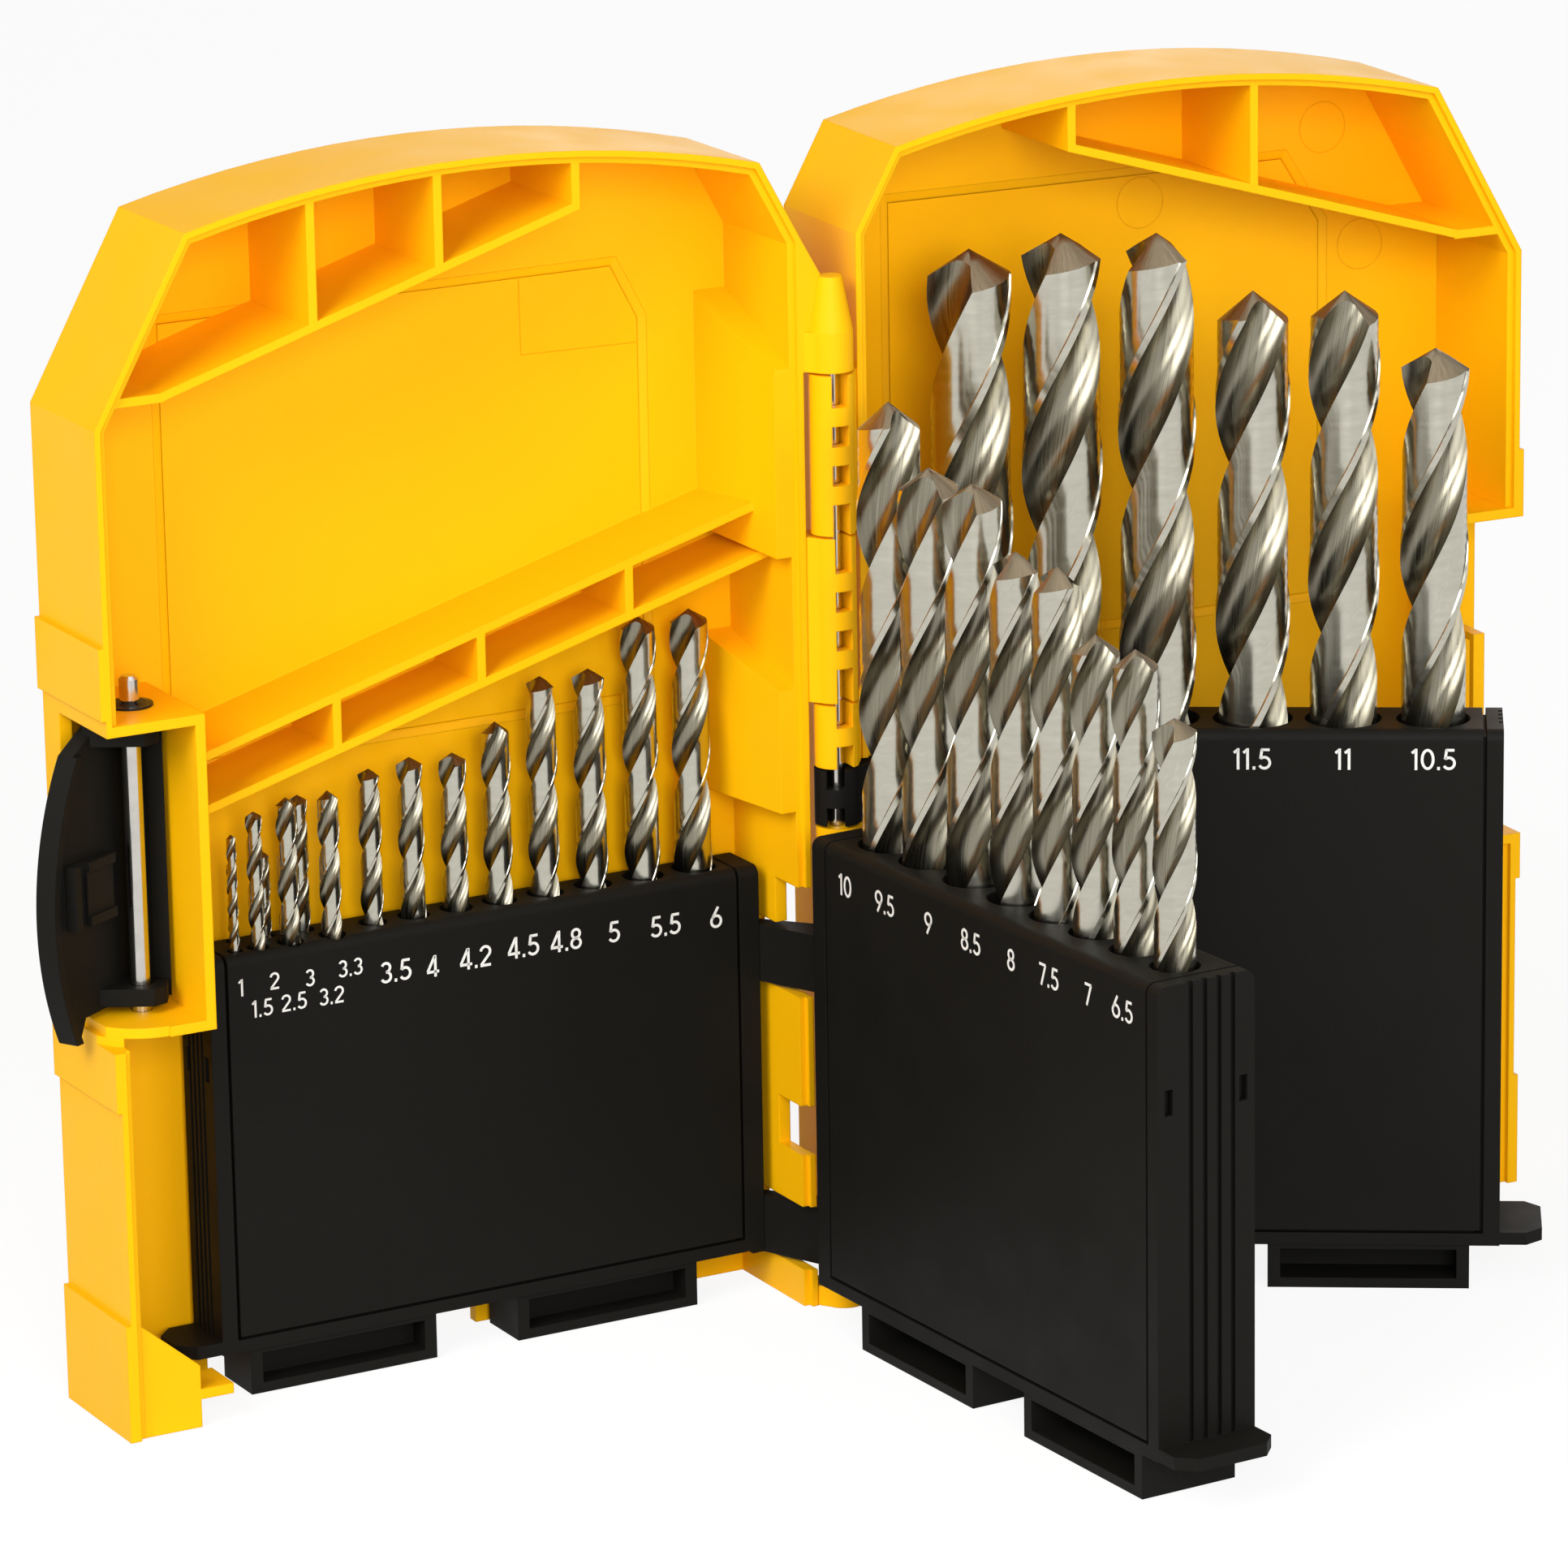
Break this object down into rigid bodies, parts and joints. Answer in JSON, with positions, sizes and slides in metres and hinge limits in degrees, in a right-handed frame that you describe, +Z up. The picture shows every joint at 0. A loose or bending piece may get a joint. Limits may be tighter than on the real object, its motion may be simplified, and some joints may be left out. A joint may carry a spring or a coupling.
{
  "type": "drill bit case",
  "caption": "Folding plastic case that stands open to swing out upright holders of graded twist drill bits, with a steel hinge pin and a side latch.",
  "frame": {"origin": "hinge pin axis at the level that the case stands on", "axes": "+Z up along the hinge pin; the open case faces -Y, with the shell of the large bits on the +X side and the shell with the latch on the -X side"},
  "size_m": [0.2293, 0.1726, 0.1888],
  "materials": {
    "yellow_plastic": "moulded, slight sheen",
    "black_plastic": "fine moulded grain, satin",
    "drill_steel": "ground lands, darker satin flutes",
    "pin_steel": "bright drawn wire",
    "black_spring_steel": "black oxide"
  },
  "bodies": {
    "right_half": {"right_shell": "yellow_plastic", "hinge_pin": "pin_steel"},
    "left_half": {"left_shell": "yellow_plastic", "latch_pin": "pin_steel", "latch_push_nut": "black_spring_steel"},
    "latch_lever": {"latch": "black_plastic"},
    "left_holder": {"left_holder_frame": "black_plastic", "left_holder_cover": "black_plastic", "left_holder_socket": "black_plastic"},
    "middle_holder": {"middle_holder_frame": "black_plastic", "middle_holder_cover": "black_plastic", "middle_holder_socket": "black_plastic"},
    "right_holder": {"right_holder_frame": "black_plastic", "right_holder_cover": "black_plastic", "right_holder_socket": "black_plastic"},
    "loose_bit_1_0": {"bit_1_0": "drill_steel"},
    "loose_bit_1_5": {"bit_1_5": "drill_steel"},
    "loose_bit_2_0": {"bit_2_0": "drill_steel"},
    "loose_bit_2_5": {"bit_2_5": "drill_steel"},
    "loose_bit_3_0": {"bit_3_0": "drill_steel"},
    "loose_bit_3_2": {"bit_3_2": "drill_steel"},
    "loose_bit_3_3": {"bit_3_3": "drill_steel"},
    "loose_bit_3_5": {"bit_3_5": "drill_steel"},
    "loose_bit_4_0": {"bit_4_0": "drill_steel"},
    "loose_bit_4_2": {"bit_4_2": "drill_steel"},
    "loose_bit_4_5": {"bit_4_5": "drill_steel"},
    "loose_bit_4_8": {"bit_4_8": "drill_steel"},
    "loose_bit_5_0": {"bit_5_0": "drill_steel"},
    "loose_bit_5_5": {"bit_5_5": "drill_steel"},
    "loose_bit_6_0": {"bit_6_0": "drill_steel"},
    "loose_bit_6_5": {"bit_6_5": "drill_steel"},
    "loose_bit_7_0": {"bit_7_0": "drill_steel"},
    "loose_bit_7_5": {"bit_7_5": "drill_steel"},
    "loose_bit_8_0": {"bit_8_0": "drill_steel"},
    "loose_bit_8_5": {"bit_8_5": "drill_steel"},
    "loose_bit_9_0": {"bit_9_0": "drill_steel"},
    "loose_bit_9_5": {"bit_9_5": "drill_steel"},
    "loose_bit_10_0": {"bit_10_0": "drill_steel"},
    "loose_bit_10_5": {"bit_10_5": "drill_steel"},
    "loose_bit_11_0": {"bit_11_0": "drill_steel"},
    "loose_bit_11_5": {"bit_11_5": "drill_steel"},
    "loose_bit_12_0": {"bit_12_0": "drill_steel"},
    "loose_bit_12_5": {"bit_12_5": "drill_steel"},
    "loose_bit_13_0": {"bit_13_0": "drill_steel"}
  },
  "joints": [
    {"name": "left_shell_hinge", "type": "hinge", "parent": "right_half", "child": "left_half", "pos_m": [0, 0, 0], "axis": [0, 0, -1], "range_deg": [-176.74, 3.26]},
    {"name": "left_holder_hinge", "type": "hinge", "parent": "right_half", "child": "left_holder", "pos_m": [0, 0, 0], "axis": [0, 0, -1], "range_deg": [-176.3, 3.26]},
    {"name": "middle_holder_hinge", "type": "hinge", "parent": "right_half", "child": "middle_holder", "pos_m": [0, 0, 0], "axis": [0, 0, -1], "range_deg": [-84.18, 1.56]},
    {"name": "right_holder_hinge", "type": "hinge", "parent": "right_half", "child": "right_holder", "pos_m": [0, 0, 0], "axis": [0, 0, -1], "range_deg": [-29.53, 0.55]},
    {"name": "latch_hinge", "type": "hinge", "parent": "left_half", "child": "latch_lever", "pos_m": [-0.10454, -0.04493, 0.087], "axis": [0, 0, -1], "range_deg": [-60, 10]},
    {"name": "bit_1_0_lift", "type": "slide", "parent": "left_holder", "child": "loose_bit_1_0", "axis": [0, 0, 1], "range_m": [0, 0.0127]},
    {"name": "bit_1_5_lift", "type": "slide", "parent": "left_holder", "child": "loose_bit_1_5", "axis": [0, 0, 1], "range_m": [0, 0.0061]},
    {"name": "bit_2_0_lift", "type": "slide", "parent": "left_holder", "child": "loose_bit_2_0", "axis": [0, 0, 1], "range_m": [0, 0.0131]},
    {"name": "bit_2_5_lift", "type": "slide", "parent": "left_holder", "child": "loose_bit_2_5", "axis": [0, 0, 1], "range_m": [0, 0.004]},
    {"name": "bit_3_0_lift", "type": "slide", "parent": "left_holder", "child": "loose_bit_3_0", "axis": [0, 0, 1], "range_m": [0, 0.0067]},
    {"name": "bit_3_2_lift", "type": "slide", "parent": "left_holder", "child": "loose_bit_3_2", "axis": [0, 0, 1], "range_m": [0, 0.0041]},
    {"name": "bit_3_3_lift", "type": "slide", "parent": "left_holder", "child": "loose_bit_3_3", "axis": [0, 0, 1], "range_m": [0, 0.006]},
    {"name": "bit_3_5_lift", "type": "slide", "parent": "left_holder", "child": "loose_bit_3_5", "axis": [0, 0, 1], "range_m": [0, 0.0067]},
    {"name": "bit_4_0_lift", "type": "slide", "parent": "left_holder", "child": "loose_bit_4_0", "axis": [0, 0, 1], "range_m": [0, 0.0077]},
    {"name": "bit_4_2_lift", "type": "slide", "parent": "left_holder", "child": "loose_bit_4_2", "axis": [0, 0, 1], "range_m": [0, 0.0102]},
    {"name": "bit_4_5_lift", "type": "slide", "parent": "left_holder", "child": "loose_bit_4_5", "axis": [0, 0, 1], "range_m": [0, 0.0084]},
    {"name": "bit_4_8_lift", "type": "slide", "parent": "left_holder", "child": "loose_bit_4_8", "axis": [0, 0, 1], "range_m": [0, 0.0046]},
    {"name": "bit_5_0_lift", "type": "slide", "parent": "left_holder", "child": "loose_bit_5_0", "axis": [0, 0, 1], "range_m": [0, 0.0069]},
    {"name": "bit_5_5_lift", "type": "slide", "parent": "left_holder", "child": "loose_bit_5_5", "axis": [0, 0, 1], "range_m": [0, 0.0023]},
    {"name": "bit_6_0_lift", "type": "slide", "parent": "left_holder", "child": "loose_bit_6_0", "axis": [0, 0, 1], "range_m": [0, 0.0047]},
    {"name": "bit_6_5_lift", "type": "slide", "parent": "middle_holder", "child": "loose_bit_6_5", "axis": [0, 0, 1], "range_m": [0, 0.06]},
    {"name": "bit_7_0_lift", "type": "slide", "parent": "middle_holder", "child": "loose_bit_7_0", "axis": [0, 0, 1], "range_m": [0, 0.06]},
    {"name": "bit_7_5_lift", "type": "slide", "parent": "middle_holder", "child": "loose_bit_7_5", "axis": [0, 0, 1], "range_m": [0, 0.06]},
    {"name": "bit_8_0_lift", "type": "slide", "parent": "middle_holder", "child": "loose_bit_8_0", "axis": [0, 0, 1], "range_m": [0, 0.06]},
    {"name": "bit_8_5_lift", "type": "slide", "parent": "middle_holder", "child": "loose_bit_8_5", "axis": [0, 0, 1], "range_m": [0, 0.06]},
    {"name": "bit_9_0_lift", "type": "slide", "parent": "middle_holder", "child": "loose_bit_9_0", "axis": [0, 0, 1], "range_m": [0, 0.06]},
    {"name": "bit_9_5_lift", "type": "slide", "parent": "middle_holder", "child": "loose_bit_9_5", "axis": [0, 0, 1], "range_m": [0, 0.06]},
    {"name": "bit_10_0_lift", "type": "slide", "parent": "middle_holder", "child": "loose_bit_10_0", "axis": [0, 0, 1], "range_m": [0, 0.06]},
    {"name": "bit_10_5_lift", "type": "slide", "parent": "right_holder", "child": "loose_bit_10_5", "axis": [0, 0, 1], "range_m": [0, 0.07]},
    {"name": "bit_11_0_lift", "type": "slide", "parent": "right_holder", "child": "loose_bit_11_0", "axis": [0, 0, 1], "range_m": [0, 0.07]},
    {"name": "bit_11_5_lift", "type": "slide", "parent": "right_holder", "child": "loose_bit_11_5", "axis": [0, 0, 1], "range_m": [0, 0.07]},
    {"name": "bit_12_0_lift", "type": "slide", "parent": "right_holder", "child": "loose_bit_12_0", "axis": [0, 0, 1], "range_m": [0, 0.07]},
    {"name": "bit_12_5_lift", "type": "slide", "parent": "right_holder", "child": "loose_bit_12_5", "axis": [0, 0, 1], "range_m": [0, 0.009]},
    {"name": "bit_13_0_lift", "type": "slide", "parent": "right_holder", "child": "loose_bit_13_0", "axis": [0, 0, 1], "range_m": [0, 0.012]}
  ],
  "couplings": [
    {"joint": "left_holder_hinge", "follows": "left_shell_hinge", "ratio": 0.99745},
    {"joint": "middle_holder_hinge", "follows": "left_shell_hinge", "ratio": 0.47624},
    {"joint": "right_holder_hinge", "follows": "left_shell_hinge", "ratio": 0.16703}
  ]
}
